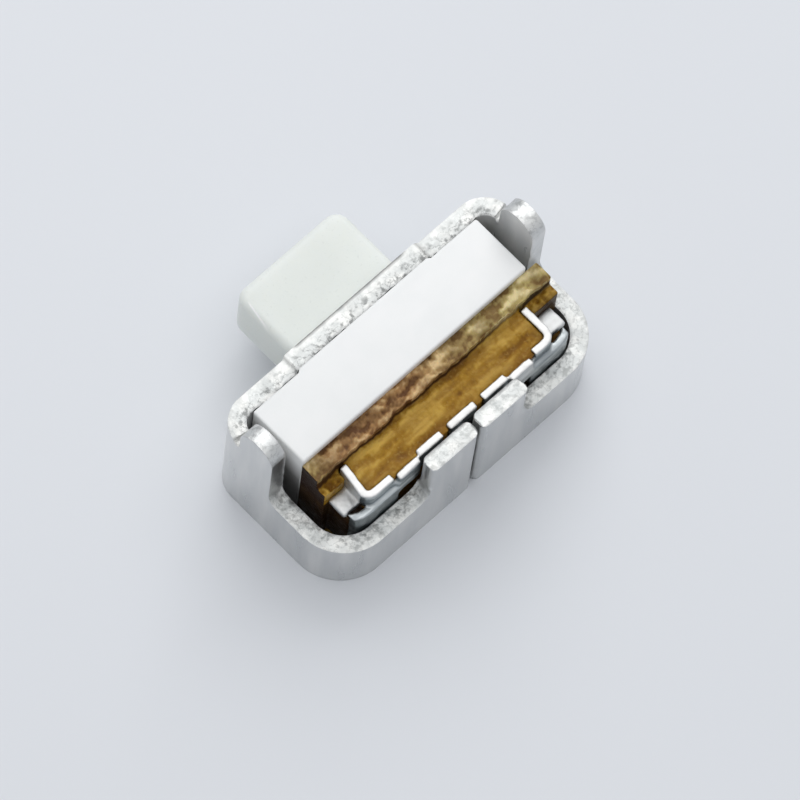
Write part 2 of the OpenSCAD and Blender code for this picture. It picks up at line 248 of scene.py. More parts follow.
def ramp(value, start, end):
    """Rises from 0 to 1 as a value goes from start to end."""
    return min(1.0, max(0.0, (value - start) / (end - start)))


def bend_contact(point):
    """Bends the left arm's foot outward, widens one notch and draws out the right ledge."""
    across = point.x - contacts_mid
    back = point.y - FRONT_Y
    shift = arm_lean * ramp(point.z, 1.08, 1.16) * ramp(back, 1.30, 1.62) * ramp(across, 1.02, 1.18)
    if across < -1.0:
        shift -= wide_notch * ramp(point.z, 1.20, 1.26) * (1 - ramp(-across, 1.0, 1.13))
    if back < ledge_back and 0.94 < point.z < 1.12:
        shift -= ledge_draw * ramp(-across, 1.42, 1.58)
    return Vector((point.x + shift, point.y, point.z))


def mark_cut_edges(shape):
    """Stores how bright each point is, the cut edges' own sheen with painted light: brighter where the
    face turns up, teeth most, then ledges and flanks with a painted reflection, leg tops least.
    """
    layer = shape.verts.layers.float.new("cut_edge_and_light")
    for vert in shape.verts:
        across = abs(vert.co.x - contacts_mid)
        back = vert.co.y - FRONT_Y
        # painted light: faces turned up are brighter
        upward = ramp(vert.normal.z, 0.15, 0.6)
        flank = 0.0
        if vert.co.z > teeth_from:
            bright = 1.0
        elif across > arm_x + 0.01 and back < ledge_back:
            bright = 0.8
        else:
            bright = 0.2
        # painted reflection: these flanks are lit as if they mirrored the bright rim
        if across > arm_x - 0.02 and back < ledge_back:
            flank = 0.5
        elif vert.co.x < contacts_mid and 0.66 < across < 1.0:
            flank = 0.55 * ramp(vert.co.z, 0.95, 1.2)
        vert[layer] = max(upward * bright, flank)


silver = silver_finish()
for contact in ("centre_contact", "left_contact", "right_contact"):
    shape = rebuild_in_cells(mesh_from_node(contact), tooth_voxel)
    soften(shape, 7)
    shape.normal_update()
    mark_cut_edges(shape)
    for vert in shape.verts:
        wander = noise.noise(vert.co * 9.0) + 0.5 * noise.noise(vert.co * 24.0)
        vert.co = bend_contact(vert.co) + vert.normal * wander * tooth_rough
    shade_smooth(shape)
    piece = make_object(shape, contact + "_plate", silver)
    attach(piece, "housing")
    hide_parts(contact)

# ---- Base -----------------------------------------------------------------------------------
# Amber heat-proof resin moulded round the contacts. The wide front plate is rough and torn on
# top where flash was trimmed off; the narrower rear body is smoother, streaked along its length.
base_voxel = 0.016
plate_back = FRONT_Y + 1.22      # rear face of the front plate
body_top = 1.34                  # top of the rear body
plate_foot = 1.38                # height above which only the front plate stands
body_back = FRONT_Y + 1.70       # rear side of the body, which darkens along the contacts
lug_top = 0.97                   # top of the lugs under the solder ledges
step_wave = 0.022                # how far the front plate's rear edge wanders
step_reach = 0.09                # how near to that edge the net follows it
tear_depth = 0.045               # how deep the tears on top of the front plate go
ripple_depth = 0.020             # swell of the rear body's top
lump_depth = 0.055               # lumps on the low shoulders outside the arms
brown_from = (-0.9, 0.1)         # the plate turns from khaki to brown between these places in X,
smoky_from = (0.6, 1.6)          # then darker,
khaki_from = (1.35, 1.60)        # and back to khaki at its +X end
step_shade_from = (-1.15, -0.7)      # the painted shade line behind the plate grows strong here


def add_axes(material):
    """The object's own X, Y and Z."""
    place = material.node_tree.nodes.new("ShaderNodeTexCoord")
    axes = material.node_tree.nodes.new("ShaderNodeSeparateXYZ")
    material.node_tree.links.new(place.outputs["Object"], axes.inputs[0])
    return axes.outputs


def add_place_mask(material, axes, axis, start, end, most=1.0):
    """Rises from 0 to the most between two places in millimetres on one axis."""
    return add_range(material, axes[axis], 0.0, most, start * MM, end * MM)


def add_relief_shading(material, relief, low, middle, high):
    """Painted shade in hollows, the resin's own colour at mid heights and a painted highlight on crests.
    """
    lower = add_mix(material, add_range(material, relief, 0.0, 1.0, 0.10, 0.50), low, middle)
    return add_mix(material, add_range(material, relief, 0.0, 1.0, 0.55, 0.95), lower, high)


def resin_finish():
    """Amber resin: khaki at the plate's ends, pinkish brown between; painted shade in its hollows, at
    its ends, inside the arms and at the step's foot, painted highlights on its crests.
    """
    material, shader = new_finish(
        "amber_resin", Subsurface_Weight=0.10, Subsurface_Scale=0.00012,
        Subsurface_Radius=(1.0, 0.45, 0.12), Specular_IOR_Level=0.14)
    link = material.node_tree.links.new
    axes = add_axes(material)
    relief = add_stored(material, "relief")
    from_step = add_stored(material, "from_step")
    streaks = add_grain(material, 2.2, detail=5.0, stretch=(0.8, 5.0, 1.0), low=0.36, high=0.62)
    patches = add_grain(material, 5.0, detail=5.0, low=0.42, high=0.60)
    specks = add_grain(material, 24.0, detail=4.0, low=0.54, high=0.68)
    khaki = add_relief_shading(material, relief, (0.24, 0.15, 0.05), (0.50, 0.40, 0.155),
                              (0.74, 0.62, 0.33))
    brown = add_relief_shading(material, relief, (0.12, 0.048, 0.015), (0.38, 0.21, 0.082),
                              (0.70, 0.48, 0.24))
    plate = add_mix(material, add_place_mask(material, axes, "X", *brown_from), khaki, brown)
    plate = add_mix(material, add_place_mask(material, axes, "X", *smoky_from, 0.3), plate,
                    (0.16, 0.095, 0.045))
    plate = add_mix(material, add_place_mask(material, axes, "X", *khaki_from, 0.6), plate, khaki)
    plate = add_mix(material, add_range(material, patches.outputs["Mask"], 0.0, 0.5), plate,
                    (0.12, 0.062, 0.022))
    body = add_relief_shading(material, relief, (0.17, 0.072, 0.004), (0.34, 0.18, 0.016),
                             (0.56, 0.35, 0.065))
    body = add_mix(material, add_range(material, streaks.outputs["Mask"], 0.55, 0.0), body,
                   (0.21, 0.095, 0.006))
    near_teeth = add_place_mask(material, axes, "Y", body_back - 0.22, body_back + 0.05, 0.6)
    body = add_mix(material, near_teeth, body, (0.20, 0.085, 0.012))
    body = add_mix(material, add_range(material, specks.outputs["Mask"], 0.0, 0.28), body,
                   (0.50, 0.32, 0.08))
    behind = add_range(material, from_step, 0.0, 1.0, 0.0, 0.012)
    colour = add_mix(material, behind, plate, body)
    # painted shade: the thin dark line at the foot of the step fades out towards the -X end
    line = add_range(material, add_math(material, "ABSOLUTE", from_step), 1.0, 0.0, 0.007, 0.022)
    low_enough = add_place_mask(material, axes, "Z", body_top + 0.055, body_top + 0.020)
    present = add_range(material, add_place_mask(material, axes, "X", *step_shade_from), 0.45, 0.97)
    step_shade = add_math(material, "MULTIPLY", add_math(material, "MULTIPLY", line, low_enough), present)
    colour = add_mix(material, step_shade, colour, (0.05, 0.018, 0.004))
    # painted shade at the ends, below the ledges and inside the arms
    colour = add_mix(material, add_stored(material, "resin_shade"), colour, (0.020, 0.008, 0.004))
    link(colour, shader.inputs["Base Color"])
    link(add_range(material, patches.outputs["Mask"], 0.36, 0.58), shader.inputs["Roughness"])
    add_bump(material, shader, specks.outputs["Raw"], 0.014, 0.9)
    return material


shape = rebuild_in_cells(mesh_from_node("base"), base_voxel)
soften(shape, 1)
shape.normal_update()
resin_shade = shape.verts.layers.float.new("resin_shade")
relief = shape.verts.layers.float.new("relief")
from_step = shape.verts.layers.float.new("from_step")
base_low, base_high = (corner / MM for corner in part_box("base"))
for vert in shape.verts:
    at = vert.co.copy()
    across = abs(at.x - contacts_mid)
    facing_up = ramp(vert.normal.z, 0.2, 0.6)
    step_place = plate_back + step_wave * (
        noise.noise(Vector((at.x * 3.1, 0.7, 0))) + 0.7 * noise.noise(Vector((at.x * 9, 4.2, 0)))
        + 0.45 * noise.noise(Vector((at.x * 22, 1.3, 0))))
    # the step behind the front plate wanders
    if at.z > body_top - 0.04 and abs(at.y - plate_back) < step_reach:
        vert.co.y += (step_place - plate_back) * (1 - abs(at.y - plate_back) / step_reach)
    vert[from_step] = vert.co.y - step_place
    # painted shade: the ends, the lugs below the ledges and the -X shoulder by the plate's step are
    # darkened where the frame's open corners and the ledges shade them
    dark = 0.0
    if at.x > base_high.x - 0.06 and abs(vert.normal.x) > 0.5:
        dark = 1.0
    if across > arm_x and base_low.z + 0.1 < at.z < lug_top + 0.03:
        dark = 0.95
    if at.x < -arm_x and at.y > plate_back - 0.01 and at.z < plate_foot:
        dark = 0.9 * (1 - facing_up) + 0.5 * facing_up * ramp(at.y, plate_back + 0.04, plate_back + 0.13)
    # painted shadow in the corners inside the arms
    inside = ramp(across, arm_x - 0.22, arm_x - 0.09) * ramp(at.y, body_back - 0.35, body_back)
    if across < arm_x:
        dark = max(dark, 0.55 * inside)
    vert[resin_shade] = dark
    if across > arm_x and at.y > plate_back + 0.01:
        lumps = noise.noise(at * 10) + 0.7 * noise.noise(at * 23)
        relief_depth = lump_depth
    elif at.y < step_place and at.z > body_top - 0.04:
        lumps = (noise.noise(Vector((at.x * 4.5, at.y * 11, 0.3))) + 0.5 * noise.noise(at * 17)
                 + 0.3 * noise.noise(at * 34))
        relief_depth = tear_depth
    else:
        lumps = (noise.noise(Vector((at.x * 1.5, at.y * 8, 3.1)))
                 + 0.5 * noise.noise(Vector((at.x * 6, at.y * 15, 1))) + 0.3 * noise.noise(at * 24))
        relief_depth = ripple_depth
    height = ramp(lumps, -0.6, 0.55)
    vert[relief] = height
    vert.co = bend_contact(vert.co) if across < arm_x else vert.co
    vert.co.z -= relief_depth * (1 - height) * facing_up
shade_smooth(shape)
base = make_object(shape, "resin_base", resin_finish())
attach(base, "housing")
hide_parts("base")


def dome_finish():
    """Bright spring steel with faint rolling marks."""
    material, shader = new_finish("dome_steel", Metallic=1.0)
    marks = add_grain(material, 12.0, stretch=(1, 4, 1))
    colour = add_mix(material, marks.outputs["Mask"], (0.72, 0.72, 0.71), (0.84, 0.84, 0.82))
    material.node_tree.links.new(colour, shader.inputs["Base Color"])
    roughness = add_range(material, marks.outputs["Mask"], 0.18, 0.30)
    material.node_tree.links.new(roughness, shader.inputs["Roughness"])
    return material


def film_finish():
    """Glossy amber film, slightly cloudy."""
    material, shader = new_finish("polyimide", Coat_Weight=0.5, Coat_Roughness=0.1)
    clouds = add_grain(material, 5.0)
    colour = add_mix(material, clouds.outputs["Mask"], (0.55, 0.27, 0.04), (0.68, 0.36, 0.07))
    material.node_tree.links.new(colour, shader.inputs["Base Color"])
    roughness = add_range(material, clouds.outputs["Mask"], 0.22, 0.34)
    material.node_tree.links.new(roughness, shader.inputs["Roughness"])
    return material


def smooth_but_sharp(shape):
    """Smooth shading that keeps the edges sharper than 30 degrees."""
    shade_smooth(shape)
    for edge in shape.edges:
        edge.smooth = not edge.is_manifold or edge.calc_face_angle() < math.radians(30)


shape = mesh_from_node("dome")
smooth_but_sharp(shape)
dome = make_object(shape, "snap_dome", dome_finish())
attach(dome, "housing")
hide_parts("dome")
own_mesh(dome)

shape = mesh_from_node("film")
smooth_but_sharp(shape)
film = make_object(shape, "cover_film", film_finish())
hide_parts("film")
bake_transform(film)

# ---- Button ---------------------------------------------------------------------------------
# Greyish white moulding that lets a little light in. A broad flange keeps it behind the guide
# block's front wall, a round nub reaches the dome, and the stem stands out of the frame.
button_low, button_high = (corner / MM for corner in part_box("button"))
stem_x = 0.77                    # half width of the stem
stem_z = (0.435, 1.195)          # underside and top of the stem
flange_y = (FRONT_Y + 0.385, FRONT_Y + 0.605)
nub_r = 0.25
tip_corner_r = 0.17              # corners of the stem's tip, seen from above
stem_edge_r = 0.10
glint_from = FRONT_Y - 0.83      # where the painted highlight beside the stem's upper +X edge starts
glint_slope = 0.15               # how far the painted highlight drifts in X for each millimetre in Y
glint_at = 0.70 - glint_slope * (FRONT_Y - 0.81)     # X on the painted highlight, less its drift


def block_between(low, high):
    """A box between two corners."""
    shape = bmesh.new()
    bmesh.ops.create_cube(shape, size=1.0)
    size = [b - a for a, b in zip(low, high)]
    middle = [(a + b) / 2 for a, b in zip(low, high)]
    bmesh.ops.scale(shape, vec=size, verts=shape.verts)
    bmesh.ops.translate(shape, vec=middle, verts=shape.verts)
    return shape


def slice_at(shape, axis, places):
    """Cuts new edges round a shape at places along one axis."""
    normal = [0.0, 0.0, 0.0]
    normal[axis] = 1.0
    for at in places:
        point = [0.0, 0.0, 0.0]
        point[axis] = at
        geometry = shape.verts[:] + shape.edges[:] + shape.faces[:]
        bmesh.ops.bisect_plane(shape, geom=geometry, dist=1e-5, plane_co=point, plane_no=normal)


def pull_out(shape, faces, offset):
    """Extrudes neighbouring faces together by an offset."""
    result = bmesh.ops.extrude_face_region(shape, geom=faces)
    moved = [g for g in result["geom"] if isinstance(g, bmesh.types.BMVert)]
    bmesh.ops.translate(shape, vec=offset, verts=moved)


def round_edges(shape, edges, radius, segments):
    """Rounds some of a shape's edges."""
    bmesh.ops.bevel(shape, geom=edges, offset=radius, offset_type="OFFSET", segments=segments,
                    profile=0.5, affect="EDGES", material=-1, clamp_overlap=True)


def edges_where(shape, test):
    """Edges whose two ends both pass a test."""
    return [e for e in shape.edges if all(test(v.co) for v in e.verts)]


def near(a, b):
    return abs(a - b) < 1e-4


# the flange, with the stem pulled out to the front and the nub to the rear
shape = block_between((button_low.x, flange_y[0], button_low.z),
                      (button_high.x, flange_y[1], button_high.z))
slice_at(shape, 0, (-stem_x, -nub_r, nub_r, stem_x))
stem_mid_z = sum(stem_z) / 2
slice_at(shape, 2, (stem_z[0], stem_mid_z - nub_r, stem_mid_z + nub_r, stem_z[1]))
shape.normal_update()
front_faces = [f for f in shape.faces if f.normal.y < -0.9 and abs(f.calc_center_median().x) < stem_x
               and stem_z[0] < f.calc_center_median().z < stem_z[1]]
back_faces = [f for f in shape.faces if f.normal.y > 0.9 and near(f.calc_center_median().x, 0)
              and near(f.calc_center_median().z, stem_mid_z)]
pull_out(shape, front_faces, (0, button_low.y - flange_y[0], 0))
pull_out(shape, back_faces, (0, button_high.y - flange_y[1], 0))
bmesh.ops.dissolve_limit(shape, angle_limit=0.01, verts=shape.verts, edges=shape.edges)
tip_upright = edges_where(shape, lambda p: near(p.y, button_low.y) and near(abs(p.x), stem_x))
tip_upright = [e for e in tip_upright if near(e.verts[0].co.x, e.verts[1].co.x)]
round_edges(shape, tip_upright, tip_corner_r, 10)
bmesh.ops.dissolve_limit(shape, angle_limit=0.01, verts=shape.verts, edges=shape.edges)
stem_rim = [e for e in shape.edges if e.is_manifold and e.calc_face_angle() > 1.0
            and min(v.co.y for v in e.verts) < flange_y[0] - 0.01]
round_edges(shape, stem_rim, stem_edge_r, 8)
nub_upright = [e for e in shape.edges if min(v.co.y for v in e.verts) > flange_y[1] - 0.01
               and not near(e.verts[0].co.y, e.verts[1].co.y)]
round_edges(shape, nub_upright, nub_r * 0.95, 8)
bmesh.ops.recalc_face_normals(shape, faces=shape.faces)
shade_smooth(shape)


def button_finish():
    """Satin moulding with faint flow clouds, small pores and a painted highlight along one edge."""
    material, shader = new_finish(
        "button_plastic", Subsurface_Weight=0.35, Subsurface_Scale=0.00035,
        Subsurface_Radius=(1.0, 0.95, 0.85), Specular_IOR_Level=0.4)
    link = material.node_tree.links.new
    clouds = add_grain(material, 2.0, detail=2.0)
    pores = add_grain(material, 30.0, detail=2.0, low=0.62, high=0.75)
    colour = add_mix(material, clouds.outputs["Mask"], (0.76, 0.79, 0.75), (0.79, 0.82, 0.78))
    colour = add_mix(material, pores.outputs["Mask"], colour, (0.72, 0.75, 0.71))
    # the painted highlight runs from near the tip towards the frame, slightly aslant
    axes = add_axes(material)
    aslant = add_math(material, "MULTIPLY", axes["Y"], -glint_slope)
    aslant = add_math(material, "ADD", aslant, axes["X"])
    off_line = add_math(material, "ABSOLUTE", add_math(material, "SUBTRACT", aslant, glint_at * MM))
    glint = add_range(material, off_line, 1.0, 0.0, 0.004 * MM, 0.012 * MM)
    for axis, start, end in (("Y", glint_from, glint_from + 0.06),
                             ("Y", glint_from + 0.40, glint_from + 0.25), ("Z", 1.05, 1.12)):
        here = add_place_mask(material, axes, axis, start, end)
        glint = add_math(material, "MULTIPLY", glint, here)
    # painted highlight: a thin near-white line along the edge
    colour = add_mix(material, glint, colour, (0.98, 0.98, 0.96))
    link(colour, shader.inputs["Base Color"])
    link(add_range(material, clouds.outputs["Mask"], 0.36, 0.46), shader.inputs["Roughness"])
    add_bump(material, shader, pores.outputs["Raw"], 0.0025, 0.5)
    return material


button = make_object(shape, "push_button", button_finish())
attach(button, "button")
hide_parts("button")

# ---- Guide block ----------------------------------------------------------------------------
# Bright white moulding with crisp edges that closes the dome's chamber and guides the button.
# It is pushed in between the frame's front wall and the base.
block_edge_r = 0.028
block_forward = 0.012            # how far its front is carried towards the front wall
end_shade_z = (1.38, 0.95)           # painted shade: its +X end darkens between these two heights


def white_finish():
    """Bright white moulding, matt, with faint mottling and painted shade low down at its +X end."""
    material, shader = new_finish(
        "white_plastic", Subsurface_Weight=0.15, Subsurface_Scale=0.00015,
        Subsurface_Radius=(1.0, 0.97, 0.95), Specular_IOR_Level=0.35)
    link = material.node_tree.links.new
    clouds = add_grain(material, 3.0, detail=3.0)
    tooling = add_grain(material, 24.0, detail=2.0, low=0.3, high=0.7)
    colour = add_mix(material, clouds.outputs["Mask"], (0.885, 0.895, 0.885), (0.91, 0.915, 0.905))
    colour = add_mix(material, add_stored(material, "end_shade"), colour, (0.13, 0.125, 0.12))
    link(colour, shader.inputs["Base Color"])
    link(add_range(material, tooling.outputs["Mask"], 0.42, 0.52), shader.inputs["Roughness"])
    add_bump(material, shader, tooling.outputs["Raw"], 0.002, 0.4)
    return material


shape = mesh_from_node("guide_block")
bmesh.ops.dissolve_limit(shape, angle_limit=math.radians(2), verts=shape.verts, edges=shape.edges)
sharp = [e for e in shape.edges if e.is_manifold and e.calc_face_angle() > math.radians(40)]
round_edges(shape, sharp, block_edge_r, 4)
block_end = max(vert.co.x for vert in shape.verts)
end_edges = [e for e in shape.edges if min(v.co.x for v in e.verts) > block_end - 0.001]
bmesh.ops.subdivide_edges(shape, edges=end_edges, cuts=9, use_grid_fill=True)
end_shade = shape.verts.layers.float.new("end_shade")
for vert in shape.verts:
    # painted shade on the +X end, darker towards the bottom
    if vert.co.x > block_end - 0.01:
        vert[end_shade] = 0.85 * ramp(vert.co.z, *end_shade_z)
    # its front lies almost against the burred wall
    if vert.co.y < FRONT_Y + 0.27:
        vert.co.y -= block_forward
shade_smooth(shape)
block = make_object(shape, "white_block", white_finish())
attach(block, "housing")
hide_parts("guide_block")

# ---- Frame ----------------------------------------------------------------------------------
# One strip of stainless steel, blanked with its pegs, window and flaps and folded round into a
# ring that stays open at the rear seam. The blanked edges are rough, the rolled faces are satin.
sheet = 0.20                     # thickness of the strip
half_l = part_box("frame")[1].x / MM
front_r = 0.37                   # outside bend radii of the front and rear corners
rear_r = 0.60
wall_h = 1.52                    # height of the front wall and of the flaps
rim_h = 0.82                     # height where the strip is cut down round the rear corners
flap = 0.70                      # length of each rear flap
flap_fillet = 0.17
seam = 0.05
seam_edge_r = 0.075              # rounding of the flaps' upright edges at the seam
flap_edge_r = 0.065              # and at their free ends
burr = 0.026                     # how far the sheared front wall bulges towards the block
press_out = 0.03                 # how far the wall round the window is pressed outwards
press_half = 0.95
press_ramp = 0.04
crease_l = 0.03                  # half width of the painted shade line at each end of the pressed-out wall
peg_from = 0.40                  # from the front face to each peg
peg_w = 0.48
peg_edge_r = 0.075
peg_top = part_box("frame")[1].z / MM
peg_fillet = 0.15
relief_r = 0.04                  # small relief cut at the front root of each peg
window_x = 0.81
window_z = (0.395, 1.235)
net_step = 0.03                  # spacing of the net that the strip is divided into
edge_r = 0.016                   # softness of the blanked edges
cut_rough = 0.011                # unevenness of the blanked edges
burr_from = 0.55                 # share of the thickness where the burr starts

# places along the flat strip, from the middle of the front wall
front_flat = half_l - front_r
front_bend = (front_r - sheet / 2) * math.pi / 2
end_from = front_flat + front_bend
bend_from = end_from + frame_depth - front_r - rear_r
rear_bend = (rear_r - sheet / 2) * math.pi / 2
rear_from = bend_from + rear_bend


def on_end(y):
    """Place along the strip of a point on the end wall, from the front face."""
    return end_from + y - front_r


def on_rear(x):
    """Place along the strip of a point on the rear wall, from the middle."""
    return rear_from + half_l - rear_r - x


def arc(centre, radius, start, end, steps):
    """Points along an arc, by its angles in degrees."""
    turn = [math.radians(start + (end - start) * i / steps) for i in range(steps + 1)]
    return [(centre[0] + radius * math.cos(a), centre[1] + radius * math.sin(a)) for a in turn]


peg_r = peg_w / 2
peg_mid = on_end(peg_from + peg_r)
strip_end = on_rear(seam / 2)
flap_end = on_rear(flap)
# half of the flat blank, along its foot to the seam and back over the flap, the peg and the window
outline = [(0, 0), (strip_end, 0), (strip_end, wall_h), (flap_end, wall_h)]
outline += arc((on_rear(flap + flap_fillet), rim_h + flap_fillet), flap_fillet, 0, -90, 8)
outline += arc((on_end(peg_from + peg_w + peg_fillet), rim_h + peg_fillet), peg_fillet, -90, -180, 8)
outline += arc((peg_mid, peg_top - peg_r), peg_r, 0, 180, 20)
outline += arc((on_end(peg_from - relief_r), wall_h), relief_r, 0, -180, 8)
outline += [(0, wall_h), (0, window_z[1]), (window_x, window_z[1])]
outline += [(window_x, window_z[0]), (0, window_z[0])]

shape = bmesh.new()
corners = [shape.verts.new((s, 0, z)) for s, z in outline]
blank = shape.faces.new(corners)
result = bmesh.ops.extrude_face_region(shape, geom=[blank])
moved = [g for g in result["geom"] if isinstance(g, bmesh.types.BMVert)]
bmesh.ops.translate(shape, vec=(0, sheet, 0), verts=moved)
at_middle = [f for f in shape.faces if all(near(v.co.x, 0) for v in f.verts)]
bmesh.ops.delete(shape, geom=at_middle, context="FACES")
bmesh.ops.mirror(shape, geom=shape.verts[:] + shape.edges[:] + shape.faces[:],
                 matrix=Matrix.Identity(4), merge_dist=1e-4, axis="X")
bmesh.ops.remove_doubles(shape, verts=shape.verts, dist=1e-4)
bmesh.ops.recalc_face_normals(shape, faces=shape.faces)


def is_peg(point):
    """True on the two pegs and a little round them."""
    return abs(abs(point.x) - peg_mid) < peg_r + 0.005 and point.z > rim_h + peg_fillet


def is_sheared(edge):
    """True for an edge between a rolled face and a sheared one, and round the flaps' seam ends."""
    at_face = near(edge.verts[0].co.y, edge.verts[1].co.y) and (
        near(edge.verts[0].co.y, 0) or near(edge.verts[0].co.y, sheet))
    at_seam = all(near(v.co.z, wall_h) and abs(v.co.x) > strip_end - seam_edge_r - 1e-4
                  for v in edge.verts)
    return edge.is_manifold and edge.calc_face_angle() > 1.0 and (at_face or at_seam)


for side in (0, sheet):
    seam_edges = edges_where(shape, lambda p: near(p.y, side) and near(abs(p.x), strip_end))
    round_edges(shape, seam_edges, seam_edge_r, 5)
peg_edges = [e for e in shape.edges if is_sheared(e) and all(is_peg(v.co) for v in e.verts)
             and max(v.co.z for v in e.verts) > peg_top - peg_r - 0.01]
round_edges(shape, peg_edges, peg_edge_r, 6)
round_edges(shape, [e for e in shape.edges if is_sheared(e)], edge_r, 2)
# an even net, so that the strip can fold and its cut edges can be worn
columns = int(strip_end / net_step)
row_h = net_step * 1.5
slice_at(shape, 0, [strip_end * i / columns for i in range(-columns + 1, columns)])
slice_at(shape, 2, [row_h * i for i in range(1, int(peg_top / row_h) + 1)])
slice_at(shape, 1, [sheet * i / 5 for i in range(1, 5)])

cut_edge_and_light = shape.verts.layers.float.new("cut_edge_and_light")
torn = shape.verts.layers.float.new("torn")
inner_side = shape.verts.layers.float.new("inner_side")
shaded = shape.verts.layers.float.new("shaded")
shape.normal_update()
for vert in shape.verts:
    at = vert.co.copy()
    along = abs(at.x)
    depth_in = at.y / sheet
    on_front = 1 - ramp(along, front_flat, end_from)
    sideways = 1 - abs(vert.normal.y)
    on_peg = ramp(at.z, wall_h - 0.12, wall_h + 0.03) if is_peg(at) else 0.0
    # painted light: blanked edges are lighter the more they face up
    lit = 0.3 + 0.7 * ramp(vert.normal.z, 0.1, 0.7)
    vert[cut_edge_and_light] = min(1.0, sideways * 1.6) * lit * (1 - 0.45 * on_peg)
    vert[inner_side] = depth_in
    # the free end of each flap is rounded off
    to_end = along - flap_end
    if -0.001 < to_end < flap_edge_r and at.z > rim_h:
        inset = flap_edge_r - math.sqrt(flap_edge_r ** 2 - (flap_edge_r - max(to_end, 0.0)) ** 2)
        inset *= ramp(at.z, rim_h + 0.1, rim_h + flap_fillet + 0.05)
        vert.co.y = sheet / 2 + (at.y - sheet / 2) * (1 - 2 * inset / sheet)
    # the front wall is torn along its inner side, the bends all over, the flaps hardly at all
    vert[torn] = on_front * ramp(depth_in, 0.15, 0.75) + (1 - on_front) * (0.4 + 0.4 * depth_in)
    if along > flap_end - 0.02:
        vert[torn] = 0.35
    vert[torn] = max(vert[torn], 0.9 * on_peg)
    # painted shade: a dark line above the stem and a dark crease line at each end of the pressed-out
    # wall
    if at.z > wall_h - 0.03:
        line = (1 - ramp(at.y, 0.008, 0.026)) * (1 - ramp(along, window_x - 0.04, window_x + 0.02))
        crease = 1 - ramp(abs(along - press_half - press_ramp / 2), 0.0, crease_l)
        vert[shaded] = max(0.85 * line, 0.6 * crease * ramp(vert.normal.z, 0.2, 0.8))
    # the window and the lower edge that the part stands on stay true
    in_window = abs(along - window_x) < 0.03 and window_z[0] - 0.03 < at.z < window_z[1] + 0.03
    if in_window or at.z < edge_r * 2:
        continue
    bumps = noise.noise(at * 6.0) + 0.8 * noise.noise(at * 15.0 + Vector((5, 1, 2)))
    outward = Vector((vert.normal.x, 0, vert.normal.z))
    vert.co += outward * (bumps - 0.3) * cut_rough * (1 - 0.9 * on_peg) * depth_in
    vert.co.z = min(vert.co.z, peg_top)
    # the shear leaves a burr along the inner edge of the front wall
    if along < front_flat + 0.1 and at.z > wall_h - 0.04 and depth_in > burr_from:
        lean = (depth_in - burr_from) / (1 - burr_from)
        height = ramp(at.z, wall_h - 0.04, wall_h)
        swell = noise.noise(Vector((at.x * 4, 7, 1))) + 0.6 * noise.noise(Vector((at.x * 13, 2, 5)))
        vert.co.y += burr * lean * height * ramp(swell, -0.8, 0.5)


def fold(point):
    """Takes a point of the flat blank to its place on the folded ring."""
    side = math.copysign(1.0, point.x)
    along = abs(point.x)
    inward = point.y
    if along < front_flat:
        pressed = ramp(along, press_half + press_ramp, press_half)
        x, y = along, inward - press_out * pressed
    elif along < end_from:
        turn = (along - front_flat) / front_bend * math.pi / 2
        x = front_flat + (front_r - inward) * math.sin(turn)
        y = front_r - (front_r - inward) * math.cos(turn)
    elif along < bend_from:
        x, y = half_l - inward, front_r + along - end_from
    elif along < rear_from:
        turn = (along - bend_from) / rear_bend * math.pi / 2
        x = half_l - rear_r + (rear_r - inward) * math.cos(turn)
        y = frame_depth - rear_r + (rear_r - inward) * math.sin(turn)
    else:
        x, y = half_l - rear_r - (along - rear_from), frame_depth - inward
    return Vector((side * x, y + FRONT_Y, point.z))


for vert in shape.verts:
    vert.co = fold(vert.co)
bmesh.ops.recalc_face_normals(shape, faces=shape.faces)
shade_smooth(shape)


def steel_finish():
    """Stainless strip: satin rolled faces, light blanked edges with painted light where they face up,
    painted shade above the stem and at the creases, pitted and veined where torn.
    """
    material, shader = new_finish("stainless_strip")
    link = material.node_tree.links.new
    edge = add_stored(material, "cut_edge_and_light")
    torn = add_stored(material, "torn")
    inner = add_stored(material, "inner_side")
    rolled = add_grain(material, 5.0, detail=5.0, stretch=(1.0, 1.0, 0.15))
    clouds = add_grain(material, 6.0, detail=3.0, low=0.42, high=0.62)
    pits = add_grain(material, 15.0, detail=6.0, low=0.52, high=0.63)
    lumps = add_grain(material, 9.0, detail=4.0)
    face_colour = add_mix(material, rolled.outputs["Mask"], (0.60, 0.61, 0.61), (0.72, 0.72, 0.71))
    clean = add_mix(material, clouds.outputs["Mask"], (0.53, 0.54, 0.53), (0.65, 0.65, 0.63))
    off_vein = add_math(material, "ABSOLUTE", add_math(material, "SUBTRACT", lumps.outputs["Raw"], 0.5))
    vein = add_range(material, off_vein, 0.9, 0.0, 0.0, 0.020)
    pitted = add_math(material, "MAXIMUM", pits.outputs["Mask"], vein)
    pitted = add_math(material, "MULTIPLY", pitted, add_range(material, torn, 0.08, 0.92))
    edge_colour = add_mix(material, pitted, clean, (0.20, 0.205, 0.20))
    # painted shade: the dark line above the stem and the creases
    edge_colour = add_mix(material, add_stored(material, "shaded"), edge_colour, (0.08, 0.08, 0.078))
    link(add_mix(material, edge, face_colour, edge_colour), shader.inputs["Base Color"])
    satin = add_range(material, rolled.outputs["Mask"], 0.27, 0.36)
    rough = add_math(material, "ADD", satin, add_range(material, edge, 0.0, 0.24))
    link(rough, shader.inputs["Roughness"])
    # the inner face keeps the dull skin of the rolled strip
    link(add_range(material, inner, 1.0, 0.3, 0.8, 1.0), shader.inputs["Metallic"])
    relief = add_math(material, "ADD", add_math(material, "MULTIPLY", pits.outputs["Raw"], 0.5),
                      lumps.outputs["Raw"])
    relief = add_math(material, "MULTIPLY", relief, add_range(material, torn, 0.25, 1.0, 0.0, 0.7))
    add_bump(material, shader, add_math(material, "MULTIPLY", relief, edge), 0.030, 0.8)
    return material


